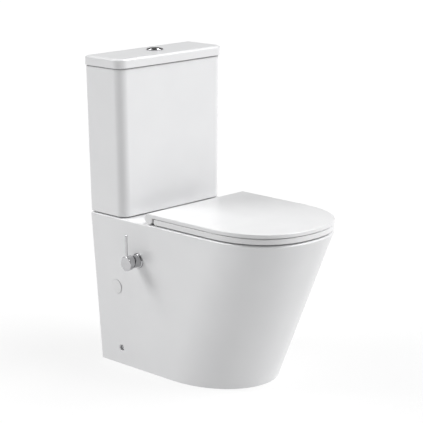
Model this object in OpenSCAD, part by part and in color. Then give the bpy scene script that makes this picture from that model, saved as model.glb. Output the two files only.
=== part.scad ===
// Close coupled, back-to-wall toilet with a dual flush cistern and a built-in bidet mixer.
// Origin: on the floor, against the wall, on the centreline. -Y is the front, +Z is up.
// Units are millimetres. Water flows from the cistern down to the bowl and out at the wall.

/* [Pan] */
// Width of the pan across its deck, at the wall
pan_w = 355; // [350:1:360]
// Width of the pan across its foot, at the wall
foot_w = 304; // [298:1:310]
// Reach of the deck's nose from the wall
pan_l = 627; // [620:1:635]
// Reach of the foot's nose from the wall
foot_l = 462; // [450:1:475]
// Height of the deck above the floor
deck_z = 411; // [405:1:418]
// Thickness of the china walls
china_t = 12; // [10:0.5:13]
// Thickness of the deck that carries the cistern and the seat
deck_t = 26; // [22:1:28]
// Height of the soil outlet's centre above the floor
outlet_z = 180; // [178:1:182]

/* [Cistern] */
// Width of the cistern at its rim
tank_w = 365; // [360:1:370]
// Width of the cistern at its foot
tank_foot_w = 355; // [350:1:360]
// Depth of the cistern from the wall, at its corners
tank_d = 134; // [132:1:138]
// How far the front bows out between its corners
tank_bow = 2; // [0:0.5:4]
// Height of the cistern's rim above the floor
tank_rim_z = 798; // [790:1:806]
// Height of the cistern's lid
lid_h = 27; // [25:1:30]
// Wall thickness of the cistern
tank_t = 9; // [8:0.5:10]

/* [Seat] */
// Width of the seat and of its lid
seat_w = 347; // [343:1:350]
// Height of the seat's hinge axis above the deck
hinge_h = 15; // [15:0.1:16]
// Distance between the two hinges
hinge_pitch = 156; // [152:1:160]

/* [Bidet mixer] */
// Distance of the mixer from the wall
mixer_y = 172; // [166:1:178]
// Height of the mixer above the floor
mixer_z = 307; // [302:1:312]
// Length of the lever above the mixer's axis
lever_l = 76; // [66:1:80]

/* [Flush] */
// Travel of the flush buttons
press_travel = 8; // [6:0.5:8]
// Diameter of the flush button's bezel
bezel_d = 44; // [43:1:46]

/* [Hidden] */
$fn = 48;

// Outline of the pan: a straight-sided D whose nose is a superellipse
nose_steps = 30;
deck_nose = [204, 2.35];
foot_nose = [198, 2.08];
foot_nose_w = foot_w - 6;
edge_r = 5;
deck_under = deck_z - deck_t;

// Bowl: half width, rear, front and roundness of its mouth, waist and sump
bowl_t = 10;
egg_steps = 40;
mouth = [124, 274, pan_l - 44, 2.35];
waist = [98, 282, pan_l - 87, 2.2];
sump = [34, 292, 374, 2.0];
waist_z = 285;
passage_r = 28;
dip_z = 121;
sump_z = dip_z - passage_r;

// Trap: the passage dips, climbs to the weir, drops and leaves as the soil outlet
trap_t = 8;
rise_a = 50;
fall_a = 40;
bend_in_r = 55;
bend_r = 50;
trap_y = -330;
dip_l = 30;
bend_swell = 0.6;
climb_l = 90;
spigot_r = 51;
spigot_bore = 43;
spigot_back = 12;
weir_y = trap_y + dip_l + bend_in_r * sin(rise_a) + climb_l * cos(rise_a)
    + bend_r * (sin(rise_a) + sin(fall_a));
weir_z = dip_z + bend_in_r * (1 - cos(rise_a)) + climb_l * sin(rise_a)
    + bend_r * (cos(fall_a) - cos(rise_a));
fall_l = (weir_z - bend_r * (1 - cos(fall_a)) - outlet_z) / sin(fall_a);
spigot_y = weir_y + fall_l * cos(fall_a) + bend_r * sin(fall_a);

// Cistern
tank_gap = 2.5;
tank_z = deck_z + tank_gap;
tank_floor_t = 14;
floor_z = tank_z + tank_floor_t;
front_r = 26;
back_r = 6;
lid_over = 3.5;
lid_top = tank_rim_z + lid_h;
lid_skin = 9;
valve_y = -67;
tank_bolt_x = 75;
tank_bolt_r = 4;
fill_x = 125;
fill_y = -62;
thread_r = 10.48;
shank_r = 9.8;
shank_z = tank_z - 10.5;

// Flush valve
outlet_bore = 24;
tower_r = 34;
tower_top = 654;
overflow_r = 8;
rocker_y = -11;
rocker_pivot = [14, tower_top + 12];
rocker_in = 14;
rocker_out = 26;
rocker_w = 4.4;
nose_r = 2.5;
slip = 0.4;
rod_r = 2;
rod_foot = rocker_pivot[1] + nose_r + slip;
housing_h = press_travel + 18;
button_r = 16.4;
button_low = lid_top + 0.5;
button_top = lid_top + 6.5;
split_y = 4;

// Fill valve
riser_r = 8.5;
head_z = 700;
head_h = 28;
float_r = 28;
float_z = 590;
float_h = 60;
fill_pivot = [8, head_z + head_h + 8];
fill_nose = -24;

// Seat and hinges
barrel_r = 14;
hinge_y = -219.5;
hinge_z = deck_z + hinge_h;
seat_nose = pan_l + 1;
seat_z = [deck_z + 3, deck_z + 17.5];
lid_z = [deck_z + 19.5, hinge_z + barrel_r + 1];
seat_back = -hinge_y + barrel_r + 2.5;
pin_r = 4;
run_r = pin_r + 0.06;
post_w = 20;
lug_w = 16;
hinge_notch = 47;

// Bidet mixer, on an axis along X
spot_x = side_x(mixer_y, mixer_z) - 1.6;
ball_x = spot_x + 27;
ball_r = 12.5;
body_r = 16.5;
cap_r = 19;
cap_end = ball_x + ball_r + 4;
lever_r = 3.5;
lever_x = cap_end - 3.8;
nozzle_z = 330;
nozzle_tip = -306;
bowl_rear = -mix(waist[1], mouth[1], (nozzle_z - waist_z) / (deck_z - waist_z));

// Side fixings
cap_y = 82;
cap_z = 220;
fix_y = 83;
fix_z = 47;
floor_fix_x = 113.5;
draft_a = atan((pan_w - foot_w) / 2 / (deck_z - edge_r));

china = "white";
chrome = "silver";
plastic = "whitesmoke";
rubber = "dimgray";
brass = "goldenrod";

// Signed power, which keeps a superellipse on the right side of its axis
function spow(v, p) = sign(v) * pow(abs(v), p);
function mix(a, b, t) = a + (b - a) * t;

// Half width of the pan's side at a distance y from the wall and a height z
function side_x(y, z) = mix(
    mix(foot_w, foot_nose_w, min(1, y / (foot_l - foot_nose[0]))) / 2,
    mix(pan_w, seat_w, min(1, y / (pan_l - deck_nose[0]))) / 2,
    z / (deck_z - edge_r));

function nose_points(w, reach, nose) = [for (i = [0:nose_steps])
    let (a = -90 + 180 * i / nose_steps)
    [w / 2 * spow(sin(a), 2 / nose[1]), nose[0] - reach - nose[0] * pow(abs(cos(a)), 2 / nose[1])]];

function arc_points(c, r, from, to, steps) = [for (i = [0:steps])
    let (a = mix(from, to, i / steps)) [c[0] + r * cos(a), c[1] + r * sin(a)]];

// A straight-sided D: w_back wide at the wall, w_nose wide where the nose begins
module d_slab(w_back, w_nose, reach, nose, z, h, back = 0) {
    translate([0, 0, z])
        linear_extrude(h)
            polygon(concat(nose_points(w_nose, reach, nose), [[w_back / 2, -back], [-w_back / 2, -back]]));
}

module egg(e, grow, z, h) {
    mid = -(e[1] + e[2]) / 2;
    half = (e[2] - e[1]) / 2 + grow;
    translate([0, 0, z])
        linear_extrude(h)
            polygon([for (i = [0:egg_steps - 1]) let (a = 360 * i / egg_steps)
                [(e[0] + grow) * spow(sin(a), 2 / e[3]), mid + half * spow(cos(a), 2 / e[3])]]);
}

// Outline of the cistern, inset all round, with large front corners and a bowed front
module tank_outline(w, d, inset) {
    half = w / 2 - inset;
    fr = front_r - inset;
    br = max(back_r - inset, 1);
    corners = concat(
        arc_points([-half + fr, -d + inset + fr], fr, 180, 270, 8),
        [for (i = [-4:4]) [i / 5 * (half - fr), -d + inset]],
        arc_points([half - fr, -d + inset + fr], fr, 270, 360, 8),
        arc_points([half - br, -inset - br], br, 0, 90, 3),
        arc_points([-half + br, -inset - br], br, 90, 180, 3));
    polygon([for (p = corners)
        [p[0], p[1] < -d / 2 ? p[1] - tank_bow * (1 - pow(p[0] / half, 2)) : p[1]]]);
}

module tank_slab(w, d, inset, z, h) {
    translate([0, 0, z])
        linear_extrude(h)
            tank_outline(w, d, inset);
}

module ring(r_out, r_in, h) {
    difference() {
        cylinder(r = r_out, h = h);
        translate([0, 0, -1]) cylinder(r = r_in, h = h + 2);
    }
}

module along_x(x, y, z) {
    translate([x, y, z]) rotate([0, 90, 0]) children();
}

module along_y(x, y, z) {
    translate([x, y, z]) rotate([-90, 0, 0]) children();
}

module mirror_pair() {
    children();
    mirror([1, 0, 0]) children();
}

module block(low, high) {
    translate(low) cube(high - low);
}

// A smooth curve through hand-set points, and a tube swept along any list of points
function spline_at(p, i, t) =
    let (a = p[max(i - 1, 0)], b = p[i], c = p[i + 1], d = p[min(i + 2, len(p) - 1)])
    0.5 * (2 * b + (c - a) * t + (2 * a - 5 * b + 4 * c - d) * t * t
        + (3 * b - a - 3 * c + d) * t * t * t);
function spline(p, steps) = concat(
    [for (i = [0:len(p) - 2]) for (k = [0:steps - 1]) spline_at(p, i, k / steps)], [p[len(p) - 1]]);
function unit(v) = v / norm(v);
function heading(p, i) = unit(p[min(i + 1, len(p) - 1)] - p[max(i - 1, 0)]);

module tube_along(p, r, sides, ref) {
    rings = [for (i = [0:len(p) - 1])
        let (t = heading(p, i), n = unit(cross(ref, t)), b = cross(t, n))
        for (k = [0:sides - 1]) p[i] + r * (cos(360 * k / sides) * n + sin(360 * k / sides) * b)];
    last = (len(p) - 1) * sides;
    walls = [for (i = [0:len(p) - 2]) for (k = [0:sides - 1])
        let (a = i * sides + k, b = i * sides + (k + 1) % sides)
        for (face = [[a, a + sides, b + sides], [a, b + sides, b]]) face];
    caps = [[for (k = [0:sides - 1]) k], [for (k = [sides - 1:-1:0]) last + k]];
    polyhedron(rings, concat(walls, caps));
}

// One step of the trap in its own upright plane: a straight, then a bend up (+) or down (-)
module trap_bend(r, radius, angle) {
    side = sign(angle);
    translate([0, 0, side * radius])
        rotate([0, 90, 0])
            rotate([0, 0, side > 0 ? 0 : 180 - abs(angle)])
                rotate_extrude(angle = abs(angle))
                    translate([radius, 0]) circle(r = r + bend_swell);
}

// A straight of the trap, which runs a little way into the bends at its ends
module trap_straight(r, l) {
    along_y(0, -1, 0) cylinder(r = r, h = l + 2);
}

module trap_run(r) {
    translate([0, trap_y, dip_z]) trap_straight(r, dip_l);
    translate([0, trap_y + dip_l, dip_z]) {
        trap_bend(r, bend_in_r, rise_a);
        translate([0, bend_in_r * sin(rise_a), bend_in_r * (1 - cos(rise_a))])
            rotate([rise_a, 0, 0]) {
                trap_straight(r, climb_l);
                translate([0, climb_l, 0]) trap_bend(r, bend_r, -rise_a - fall_a);
            }
    }
    translate([0, weir_y, weir_z])
        rotate([-fall_a, 0, 0]) {
            trap_straight(r, fall_l);
            translate([0, fall_l, 0]) trap_bend(r, bend_r, fall_a);
        }
}

// The straight-sided D at a height between foot and deck, inset all round but open at the wall
module skirt_slab(inset, z, h) {
    t = max(z, 0) / (deck_z - edge_r);
    nose = mix(foot_nose, deck_nose, t);
    d_slab(mix(foot_w, pan_w, t) - 2 * inset, mix(foot_nose_w, seat_w, t) - 2 * inset,
        mix(foot_l, pan_l, t) - inset, [nose[0] - inset, nose[1]], z, h, -min(inset, 1));
}

module skirt(inset, low, high) {
    hull() {
        skirt_slab(inset, low, 1);
        skirt_slab(inset, high - 1, 1);
        if (inset == 0)
            d_slab(pan_w - edge_r, seat_w - edge_r, pan_l - edge_r / 2, deck_nose, deck_z - 0.5, 0.5);
    }
}

module bowl(grow, low, top) {
    hull() {
        egg(mouth, grow, top - 1, 1);
        egg(waist, grow, waist_z, 1);
    }
    hull() {
        egg(waist, grow, waist_z, 1);
        egg(sump, grow, low, 1);
    }
}

module deck_holes() {
    translate([0, valve_y, deck_z - 14]) cylinder(r = 48, h = 20);
    translate([0, valve_y, deck_under - 12]) cylinder(r = 34, h = 60);
    mirror_pair() {
        translate([tank_bolt_x, valve_y, deck_under - 5]) cylinder(r = 7, h = deck_t + 10);
        translate([hinge_pitch / 2, hinge_y, deck_under - 5]) cylinder(r = 7.5, h = deck_t + 10);
    }
    translate([fill_x, fill_y, deck_under - 5]) cylinder(r = 20, h = deck_t + 10);
}

module side_holes() {
    mirror_pair() {
        along_x(side_x(fix_y, fix_z) - 30, -fix_y, fix_z) cylinder(r = 8, h = 50);
        along_x(side_x(cap_y, cap_z) - 30, -cap_y, cap_z) cylinder(r = 17, h = 50);
    }
    mirror([1, 0, 0]) {
        along_x(spot_x - 40, -mixer_y, mixer_z) cylinder(r = 13, h = 60);
        along_x(spot_x, -mixer_y, mixer_z) cylinder(r = 19.6, h = 20);
    }
}

module pan() {
    color(china)
    difference() {
        union() {
            difference() {
                skirt(0, 0, deck_z - edge_r);
                skirt(china_t, -1, deck_under);
            }
            bowl(bowl_t, sump_z - bowl_t, deck_z - 2);
            block([-50, -280, deck_under - 44], [50, -30, deck_under + 4]);
            trap_run(passage_r + trap_t);
            along_y(0, spigot_y - 6, outlet_z) cylinder(r = spigot_r, h = -spigot_back - spigot_y + 6);
        }
        bowl(0, sump_z, deck_z + 1);
        block([-42, -300, deck_under - 36], [42, -38, deck_under - 2]);
        trap_run(passage_r);
        along_y(0, spigot_y - 1, outlet_z) cylinder(r = spigot_bore, h = 10 - spigot_y);
        along_y(0, nozzle_tip, nozzle_z) cylinder(r = 5.5, h = 60);
        deck_holes();
        side_holes();
    }
}

module cistern_tank() {
    color(china)
    difference() {
        hull() {
            tank_slab(tank_foot_w, tank_d - 3, 2, tank_z, 1);
            tank_slab(tank_foot_w, tank_d - 3, 0, tank_z + 4, 1);
            tank_slab(tank_w, tank_d, 0, tank_rim_z - 1, 1);
        }
        hull() {
            tank_slab(tank_foot_w, tank_d - 3, tank_t, floor_z, 1);
            tank_slab(tank_w, tank_d, tank_t, tank_rim_z, 1);
        }
        translate([0, valve_y, tank_z - 1]) cylinder(r = 31, h = 30);
        mirror_pair() translate([tank_bolt_x, valve_y, tank_z - 1]) cylinder(r = 7, h = 30);
        translate([fill_x, fill_y, tank_z - 1]) cylinder(r = 11.5, h = 30);
    }
}

module cistern_lid() {
    color(china)
    difference() {
        union() {
            hull() {
                lid_slab(1, tank_rim_z, 1);
                lid_slab(0, tank_rim_z + 2, lid_h - 10);
                lid_slab(2.5, lid_top - 3.5, 1);
                lid_slab(9, lid_top - 0.5, 0.5);
            }
            tank_slab(tank_w, tank_d, tank_t + 2, tank_rim_z - 9, 12);
        }
        tank_slab(tank_w, tank_d, tank_t + 8, tank_rim_z - 10, lid_h - lid_skin + 10);
        translate([0, valve_y, lid_top - 20]) cylinder(r = 19.2, h = 30);
    }
}

module lid_slab(inset, z, h) {
    translate([0, 0, z])
        linear_extrude(h)
            translate([0, -inset])
                tank_outline(tank_w + 2 * lid_over - 2 * inset, tank_d + lid_over - 2 * inset, 0);
}

module tank_gasket() {
    color(rubber) translate([0, valve_y, deck_z - 14]) ring(47, 41, 14 + tank_gap);
}

module tank_pads() {
    color(rubber)
    mirror_pair()
        for (y = [-20, -112])
            translate([155, y, deck_z]) cylinder(r = 8, h = tank_gap);
}

module tank_bolts() {
    color(brass)
    mirror_pair()
        translate([tank_bolt_x, valve_y, 0]) {
            translate([0, 0, floor_z + 3]) cylinder(r = 10, h = 5);
            translate([0, 0, deck_under - 28]) cylinder(r = tank_bolt_r, h = floor_z + 4 - deck_under + 28);
        }
}

module tank_bolt_washers() {
    color(rubber)
    mirror_pair()
        translate([tank_bolt_x, valve_y, floor_z]) ring(13, tank_bolt_r + 0.1, 3);
}

module tank_wing_nuts() {
    color(brass)
    mirror_pair()
        translate([tank_bolt_x, valve_y, deck_under - 12]) {
            ring(7, tank_bolt_r + 0.1, 10);
            for (s = [-1, 1]) block([-1.5, s * 12 - 6, 0], [1.5, s * 12 + 6, 9]);
            translate([0, 0, 10]) ring(12, tank_bolt_r + 0.1, 2);
        }
}

module flush_valve_base() {
    color(plastic)
    translate([0, valve_y, 0])
        difference() {
            union() {
                translate([0, 0, floor_z]) cylinder(r = 44, h = 10);
                translate([0, 0, deck_under + 3]) cylinder(r = 29, h = floor_z - deck_under);
            }
            translate([0, 0, deck_under]) cylinder(r = outlet_bore, h = 80);
        }
}

module flush_backnut() {
    color(plastic) translate([0, valve_y, tank_z - 11]) ring(40, 29.1, 11);
}

module flush_valve_tower() {
    ear_x = rocker_pivot[0];
    color("lightsteelblue")
    translate([0, valve_y, 0])
        difference() {
            union() {
                translate([0, 0, floor_z + 10]) ring(tower_r, tower_r - 3, tower_top - 4 - floor_z - 10);
                translate([0, 0, tower_top - 4]) cylinder(r = tower_r, h = 4);
                for (y = [rocker_y - 6.4, rocker_y + 3.8])
                    block([ear_x - 3.5, y, tower_top - 1], [ear_x + 3.5, y + 2.6, rocker_pivot[1] + 3.5]);
                translate([0, -rocker_y, tower_top - 1]) cylinder(r = 4.5, h = 10);
            }
            for (a = [0, 90])
                rotate([0, 0, a]) {
                    block([-50, -15, floor_z + 16], [50, 15, floor_z + 56]);
                    block([-50, -15, floor_z + 80], [50, 15, tower_top - 20]);
                }
            translate([0, 0, tower_top - 5]) cylinder(r = overflow_r + 0.8, h = 20);
            along_y(ear_x, -30, rocker_pivot[1]) cylinder(r = 1.55, h = 40);
            translate([0, -rocker_y, tower_top - 10]) cylinder(r = rod_r + 0.4, h = 30);
        }
}

module flush_canister() {
    low = floor_z + 13;
    bar_z = rod_foot;
    color("tomato")
    translate([0, valve_y, 0])
        difference() {
            union() {
                translate([0, 0, low]) cylinder(r = 27, h = 62);
                translate([0, 0, low + 60]) cylinder(r = overflow_r, h = bar_z - low - 55);
                block([-44, -4, bar_z], [44, 4, bar_z + 5]);
                block([36, -15, bar_z], [44, 15, bar_z + 5]);
            }
            translate([0, 0, low - 5]) cylinder(r = overflow_r - 2, h = bar_z - low + 30);
            translate([0, 0, low + 12]) ring(24, 12, 60);
        }
}

module canister_seal() {
    color("darkred") translate([0, valve_y, floor_z + 10]) ring(29, 12, 3);
}

module flush_rocker() {
    color("gold")
    translate([rocker_pivot[0], valve_y + rocker_y - rocker_w / 2, rocker_pivot[1]])
        difference() {
            union() {
                block([-rocker_in, 0, -2], [rocker_out, rocker_w, 2]);
                for (x = [-rocker_in, rocker_out]) along_y(x, 0, 0) cylinder(r = nose_r, h = rocker_w);
                along_y(0, 0, 0) cylinder(r = 3.2, h = rocker_w);
            }
            along_y(0, -1, 0) cylinder(r = 1.55, h = rocker_w + 2);
        }
}

module rocker_pin() {
    color(chrome)
    along_y(rocker_pivot[0], valve_y + rocker_y - 6.4, rocker_pivot[1]) cylinder(r = 1.5, h = 12.8);
}

module button_bezel() {
    floor_low = lid_top - housing_h;
    color(chrome)
    translate([0, valve_y, 0])
        difference() {
            rotate_extrude()
                polygon([[0, floor_low], [18.8, floor_low], [18.8, lid_top], [bezel_d / 2, lid_top],
                    [bezel_d / 2, lid_top + 2], [bezel_d / 2 - 1.5, lid_top + 3.5], [0, lid_top + 3.5]]);
            translate([0, 0, floor_low + 2]) cylinder(r = button_r + 0.3, h = 60);
            for (y = [rocker_y, -rocker_y])
                translate([0, y, floor_low - 1]) cylinder(r = rod_r + 0.4, h = 10);
        }
}

module bezel_nut() {
    color(plastic) translate([0, valve_y, lid_top - lid_skin - 8]) ring(25, 18.9, 8);
}

// The round push plate, of which each button is one share
module push_plate() {
    rotate_extrude()
        polygon([[0, button_low], [button_r, button_low], [button_r, button_top - 2.6],
            [button_r - 1, button_top - 1.4], [10, button_top - 0.4], [0, button_top]]);
}

module full_flush_button() {
    color(chrome)
    translate([0, valve_y, 0])
        intersection() {
            push_plate();
            block([-30, -30, button_low - 1], [30, split_y - 0.3, button_top + 1]);
        }
}

module half_flush_button() {
    color(chrome)
    translate([0, valve_y, 0])
        intersection() {
            push_plate();
            block([-30, split_y + 0.3, button_low - 1], [30, 30, button_top + 1]);
        }
}

module push_rod(y) {
    translate([0, valve_y + y, rod_foot]) cylinder(r = rod_r, h = button_low - rod_foot);
}

module full_push_rod() { color(plastic) push_rod(rocker_y); }

module half_push_rod() { color(plastic) push_rod(-rocker_y); }

module button_spring(y) {
    turns = 5;
    low = lid_top - housing_h + 2 + 0.7;
    high = button_low - 0.7;
    path = [for (i = [0:turns * 10])
        [3.4 * cos(36 * i), 3.4 * sin(36 * i), mix(low, high, i / turns / 10)]];
    translate([0, valve_y + y, 0]) tube_along(path, 0.5, 6, [0, 0, 1]);
}

module full_button_spring() { color(chrome) button_spring(rocker_y); }

module half_button_spring() { color(chrome) button_spring(-rocker_y); }

module fill_valve_body() {
    color(plastic)
    translate([fill_x, fill_y, 0]) {
        translate([0, 0, deck_under - 20]) cylinder(r = thread_r, h = shank_z - deck_under + 20);
        translate([0, 0, shank_z]) cylinder(r = shank_r, h = floor_z - shank_z);
        translate([0, 0, floor_z]) cylinder(r = 17, h = 5);
        translate([0, 0, floor_z + 5]) cylinder(r = riser_r, h = head_z - floor_z - 5);
    }
}

module fill_valve_head() {
    top = head_z + head_h;
    ear_x = fill_pivot[0];
    color("steelblue")
    translate([fill_x, fill_y, 0])
        difference() {
            union() {
                translate([0, 0, head_z]) cylinder(r = 17, h = head_h - 4);
                translate([0, 0, top - 4]) cylinder(r = 19, h = 4);
                for (y = [-5.4, 2.8])
                    block([ear_x - 4, y, top - 1], [ear_x + 4, y + 2.6, fill_pivot[1] + 4]);
                translate([-10, -15, top - 10]) cylinder(r = 4, h = 10);
            }
            along_y(ear_x, -20, fill_pivot[1]) cylinder(r = 1.55, h = 40);
        }
}

module fill_shank_nut() {
    color(brass) translate([fill_x, fill_y, tank_z - 10])
        difference() {
            cylinder(r = 17, h = 10, $fn = 6);
            translate([0, 0, -1]) cylinder(r = shank_r + 0.1, h = 12);
        }
}

module fill_float() {
    color("gainsboro")
    translate([fill_x, fill_y, float_z]) {
        ring(float_r, riser_r + 0.6, float_h);
        translate([fill_nose, 0, float_h]) cylinder(r = 2, h = fill_pivot[1] - nose_r - slip - float_z - float_h);
    }
}

module fill_lever() {
    color("steelblue")
    translate([fill_x + fill_pivot[0], fill_y, fill_pivot[1]])
        difference() {
            union() {
                block([fill_nose - fill_pivot[0], -2.2, -2], [0, 2.2, 2]);
                along_y(fill_nose - fill_pivot[0], -2.2, 0) cylinder(r = nose_r, h = 4.4);
                along_y(0, -2.2, 0) cylinder(r = 3.4, h = 4.4);
            }
            along_y(0, -5, 0) cylinder(r = 1.55, h = 10);
        }
}

module fill_lever_pin() {
    color(chrome) along_y(fill_x + fill_pivot[0], fill_y - 5.4, fill_pivot[1]) cylinder(r = 1.5, h = 10.8);
}

module refill_tube() {
    route = [[fill_x - 10, fill_y - 15, head_z + 28], [fill_x - 10, fill_y - 15, head_z + 34],
        [fill_x - 24, fill_y - 26, head_z + 46], [fill_x - 52, fill_y - 30, head_z + 34],
        [fill_x - 70, fill_y - 30, head_z - 10], [fill_x - 84, fill_y - 26, head_z - 50],
        [fill_x - 92, fill_y - 22, head_z - 90]];
    color("lightgray") tube_along(spline(route, 4), 3, 10, [0, 1, 0]);
}

module seat_ring() {
    plate = [deck_nose[0], deck_nose[1]];
    color(plastic)
    difference() {
        union() {
            hull() {
                d_slab(seat_w - 3, seat_w - 3, seat_nose - 1.5, plate, seat_z[0], 1, seat_back);
                d_slab(seat_w, seat_w, seat_nose, plate, seat_z[0] + 3, seat_z[1] - seat_z[0] - 6, seat_back);
                d_slab(seat_w - 4, seat_w - 4, seat_nose - 2, plate, seat_z[1] - 1, 1, seat_back);
            }
            mirror_pair() {
                lug_x = hinge_pitch / 2 - post_w / 2 - 1 - lug_w;
                along_x(lug_x, hinge_y, hinge_z) cylinder(r = 9, h = lug_w);
                block([lug_x, -seat_back - 6, seat_z[0] + 2.5], [lug_x + lug_w, hinge_y, hinge_z + 2]);
            }
        }
        egg([110, 292, pan_l - 66, 2.3], 0, seat_z[0] - 1, 40);
        mirror_pair() along_x(20, hinge_y, hinge_z) cylinder(r = 6.5, h = 60);
    }
}

module seat_buffers() {
    color(rubber)
    mirror_pair()
        for (p = [[138, 290], [112, 540]])
            translate([p[0], -p[1], deck_z + 0.2]) cylinder(r = 7, h = seat_z[0] - deck_z - 0.2);
}

module seat_lid() {
    span = seat_w + 1;
    low = lid_z[0];
    nose = [deck_nose[0] + 1, deck_nose[1]];
    lug_x = hinge_pitch / 2 + post_w / 2 + 1;
    color(plastic)
    difference() {
        union() {
            hull() {
                d_slab(span - 3, span - 3, seat_nose - 0.5, nose, low, 1, -hinge_y);
                d_slab(span, span, seat_nose + 1, nose, low + 2.5, 2.5, -hinge_y);
                d_slab(span - 10, span - 10, seat_nose - 4, nose, lid_z[1] - 2, 1, -hinge_y);
                d_slab(span - 34, span - 34, seat_nose - 16, nose, lid_z[1] - 1, 1, -hinge_y);
            }
            along_x(-span / 2, hinge_y, hinge_z) cylinder(r = barrel_r, h = span);
        }
        d_slab(span - 30, span - 30, seat_nose - 14, nose, low - 1, 5, seat_back + 4);
        mirror_pair() {
            along_x(hinge_notch - 1, hinge_y, hinge_z) cylinder(r = 10.6, h = lug_x - hinge_notch + 1);
            block([hinge_notch - 1, hinge_y - barrel_r - 1, deck_z - 10],
                [lug_x, hinge_y + barrel_r + 1, hinge_z + 9.6]);
            along_x(lug_x - 1, hinge_y, hinge_z) cylinder(r = 7, h = 31);
        }
    }
}

module lid_buffers() {
    color(rubber)
    mirror_pair()
        for (p = [[163, 330], [100, 590]])
            translate([p[0], -p[1], seat_z[1] + 0.2]) cylinder(r = 4, h = lid_z[0] - seat_z[1] - 0.2);
}

module hinge_posts() {
    half = post_w / 2;
    color(chrome)
    mirror_pair()
        translate([hinge_pitch / 2, hinge_y, 0])
            difference() {
                union() {
                    translate([0, 0, deck_z]) cylinder(r = 10.5, h = 2);
                    block([-half, -6, deck_z + 1], [half, 6, hinge_z]);
                    along_x(-half, 0, hinge_z) cylinder(r = 9, h = post_w);
                }
                along_x(-half - 1, 0, hinge_z) cylinder(r = pin_r + 0.02, h = post_w + 2);
            }
}

module hinge_pins() {
    color(chrome)
    mirror_pair()
        along_x(hinge_pitch / 2 - post_w / 2 - lug_w, hinge_y, hinge_z)
            cylinder(r = pin_r, h = 2 * lug_w + post_w + 12);
}

module hinge_bolts() {
    color(chrome)
    mirror_pair()
        translate([hinge_pitch / 2, hinge_y, deck_under - 26]) cylinder(r = pin_r, h = deck_z - deck_under + 26);
}

module hinge_nuts() {
    color(plastic)
    mirror_pair()
        translate([hinge_pitch / 2, hinge_y, deck_under - 12])
            difference() {
                union() {
                    cylinder(r = 9, h = 8);
                    translate([0, 0, 8]) cylinder(r = 13, h = 4);
                }
                translate([0, 0, -1]) cylinder(r = pin_r + 0.1, h = 20);
            }
}

module damper_sleeve(x, r, l) {
    mirror_pair()
        along_x(x, hinge_y, hinge_z) ring(r - 0.05, run_r, l);
}

module seat_dampers() {
    color("dimgray") damper_sleeve(hinge_pitch / 2 - post_w / 2 - 1 - lug_w, 6.5, lug_w);
}

module lid_dampers() {
    color("dimgray") damper_sleeve(hinge_pitch / 2 + post_w / 2 + 1, 7, 29.5);
}

// The mixer is drawn on the +X side and mirrored to the -X side
module mixer_side() {
    mirror([1, 0, 0]) translate([0, -mixer_y, mixer_z]) children();
}

module turned(x) {
    translate([x, 0, 0]) rotate([0, 90, 0]) children();
}

// A slanted slice across the mixer, so that the handle clears the body when it tilts
module mixer_cut(offset, angle, reach) {
    translate([ball_x + offset, 0, 0])
        rotate([0, angle, 0])
            block([reach[0], -40, -40], [reach[1], 40, 40]);
}

module mixer_escutcheon() {
    color(chrome)
    mixer_side()
        difference() {
            turned(spot_x) cylinder(r1 = 19.4, r2 = 18, h = 5);
            turned(spot_x - 1) cylinder(r = 12.1, h = 10);
        }
}

module mixer_body() {
    color(chrome)
    mixer_side()
        difference() {
            union() {
                turned(spot_x + 5) cylinder(r = body_r, h = 26);
                turned(spot_x - 34) cylinder(r = 12, h = 40);
                turned(spot_x - 52) cylinder(r = thread_r, h = 20);
                along_y(spot_x - 28, 8, 0) cylinder(r = 5.5, h = 13);
            }
            turned(spot_x + 6) cylinder(r = 9.2, h = 40);
            translate([ball_x, 0, 0]) sphere(r = ball_r + 0.3);
            mixer_cut(-4, -20, [0, 30]);
        }
}

module mixer_backnut() {
    color(brass)
    mixer_side()
        difference() {
            turned(side_x(mixer_y, mixer_z) - china_t - 9) cylinder(r = 18, h = 7, $fn = 6);
            turned(spot_x - 40) cylinder(r = 12.1, h = 60);
        }
}

module mixer_cartridge() {
    color("darkorange") mixer_side() turned(spot_x + 6) cylinder(r = 9, h = 8);
}

module mixer_ball() {
    color("gray") mixer_side() translate([ball_x, 0, 0]) sphere(r = ball_r);
}

module mixer_handle() {
    color(chrome)
    mixer_side()
        difference() {
            turned(ball_x - 6) cylinder(r = cap_r, h = cap_end - ball_x + 6);
            turned(ball_x - 10) cylinder(r = ball_r + 1.1, h = ball_r + 10.9);
            mixer_cut(2, -13.5, [-30, 0]);
        }
}

module mixer_lever() {
    color(chrome)
    mixer_side()
        translate([lever_x, 0, cap_r - 0.3]) {
            cylinder(r = lever_r, h = lever_l - cap_r - lever_r + 0.3);
            translate([0, 0, lever_l - cap_r - lever_r + 0.3]) sphere(r = lever_r);
        }
}

module spray_nozzle() {
    color(chrome) {
        along_y(0, nozzle_tip, nozzle_z) cylinder(r = 5, h = -230 - nozzle_tip);
        along_y(0, nozzle_tip, nozzle_z) cylinder(r = 8, h = bowl_rear - 1 - nozzle_tip);
    }
}

module nozzle_nut() {
    color(brass)
    along_y(0, bowl_rear + bowl_t + 0.8, nozzle_z)
        difference() {
            cylinder(r = 10, h = 7, $fn = 6);
            translate([0, 0, -1]) cylinder(r = 5.1, h = 10);
        }
}

module nozzle_hose() {
    from = [-spot_x + 28, 21 - mixer_y, mixer_z];
    route = [from, from + [0, 12, 0], [-126, -120, 306], [-96, -112, 300], [-56, -120, 304],
        [-22, -150, 316], [-4, -190, 327], [0, -216, nozzle_z], [0, -230, nozzle_z]];
    color("lightgray") tube_along(spline(route, 5), 5, 10, [0, 0, 1]);
}

module access_caps() {
    color(china)
    mirror_pair()
        translate([side_x(cap_y, cap_z), -cap_y, cap_z])
            rotate([0, 90 + draft_a, 0])
                translate([0, 0, 0.2]) {
                    cylinder(r = 19, h = 1.6);
                    translate([0, 0, -12]) cylinder(r = 16, h = 13);
                }
}

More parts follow.
